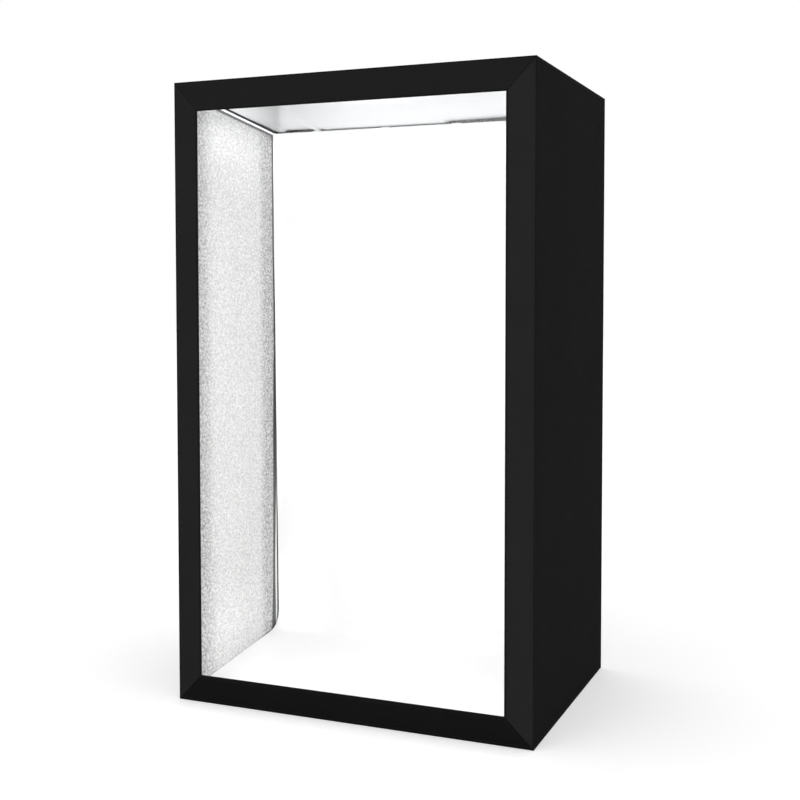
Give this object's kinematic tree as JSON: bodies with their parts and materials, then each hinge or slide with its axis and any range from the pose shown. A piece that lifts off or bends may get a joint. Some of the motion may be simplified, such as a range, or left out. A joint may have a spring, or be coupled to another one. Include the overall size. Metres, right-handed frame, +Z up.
{
  "type": "light tent cube",
  "caption": "Tall free-standing light box for photography: tube frame, black fabric cover with a mitred open front, silver linings, swept white backdrop, ceiling diffuser and tilting LED bars.",
  "frame": {"origin": "centre of the bottom face, on the surface that the box stands on", "axes": "+Z up; -Y out of the open front; +X to the right for someone who looks in at the open front"},
  "size_m": [1.2, 0.85, 2],
  "materials": {
    "cover_cloth": "matt black woven polyester",
    "flap_cloth": "matt black woven polyester over a stiffener",
    "silver_lining": "silver film with a fine pebble grain",
    "backdrop": "matt white sheet",
    "diffuser": "white diffusion cloth with a taped hem",
    "frame_tube": "grey painted steel",
    "corner_plastic": "moulded black",
    "hanger_plastic": "moulded black",
    "clip_plastic": "moulded white",
    "bar_aluminium": "satin anodised",
    "lens": "frosted acrylic",
    "led_board": "white board with yellow LED chips",
    "inlet_plastic": "moulded black"
  },
  "bodies": {
    "light_box": {"backdrop_clip_1": "clip_plastic", "backdrop_clip_2": "clip_plastic", "backdrop_clip_3": "clip_plastic", "backdrop_clip_4": "clip_plastic", "backdrop_rod": "frame_tube", "backdrop_sheet": "backdrop", "ceiling_diffuser": "diffuser", "corner_front_bottom_left": "corner_plastic", "corner_front_bottom_right": "corner_plastic", "corner_front_top_left": "corner_plastic", "corner_front_top_right": "corner_plastic", "corner_rear_bottom_left": "corner_plastic", "corner_rear_bottom_right": "corner_plastic", "corner_rear_top_left": "corner_plastic", "corner_rear_top_right": "corner_plastic", "cover_bottom": "cover_cloth", "cover_left": "cover_cloth", "cover_rear": "cover_cloth", "cover_right": "cover_cloth", "cover_top": "cover_cloth", "flap_bottom": "flap_cloth", "flap_left": "flap_cloth", "flap_right": "flap_cloth", "flap_top": "flap_cloth", "lining_left": "silver_lining", "lining_rear": "silver_lining", "lining_right": "silver_lining", "post_front_left": "frame_tube", "post_front_right": "frame_tube", "post_rear_left": "frame_tube", "post_rear_right": "frame_tube", "rail_front_bottom": "frame_tube", "rail_front_top": "frame_tube", "rail_left_bottom": "frame_tube", "rail_left_top": "frame_tube", "rail_rear_bottom": "frame_tube", "rail_rear_top": "frame_tube", "rail_right_bottom": "frame_tube", "rail_right_top": "frame_tube", "rod_hanger_left": "hanger_plastic", "rod_hanger_right": "hanger_plastic"},
    "front_bar_carriage": {"front_bar_hanger_left": "hanger_plastic", "front_bar_hanger_right": "hanger_plastic"},
    "front_bar": {"front_bar_cap_left": "hanger_plastic", "front_bar_cap_right": "hanger_plastic", "front_bar_housing": "bar_aluminium", "front_bar_inlet": "inlet_plastic", "front_bar_led_board": "led_board", "front_bar_lens": "lens"},
    "rear_bar_carriage": {"rear_bar_hanger_left": "hanger_plastic", "rear_bar_hanger_right": "hanger_plastic"},
    "rear_bar": {"rear_bar_cap_left": "hanger_plastic", "rear_bar_cap_right": "hanger_plastic", "rear_bar_housing": "bar_aluminium", "rear_bar_inlet": "inlet_plastic", "rear_bar_led_board": "led_board", "rear_bar_lens": "lens"}
  },
  "joints": [
    {"name": "front_bar_slide", "type": "slide", "parent": "light_box", "child": "front_bar_carriage", "axis": [0, 1, 0], "range_m": [-0.04, 0.06]},
    {"name": "front_bar_tilt", "type": "hinge", "parent": "front_bar_carriage", "child": "front_bar", "pos_m": [0, -0.045, 1.97214], "axis": [1, 0, 0], "range_deg": [-30, 30]},
    {"name": "rear_bar_slide", "type": "slide", "parent": "light_box", "child": "rear_bar_carriage", "axis": [0, 1, 0], "range_m": [-0.02, 0.04]},
    {"name": "rear_bar_tilt", "type": "hinge", "parent": "rear_bar_carriage", "child": "rear_bar", "pos_m": [0, 0.095, 1.97214], "axis": [1, 0, 0], "range_deg": [-30, 30]}
  ]
}
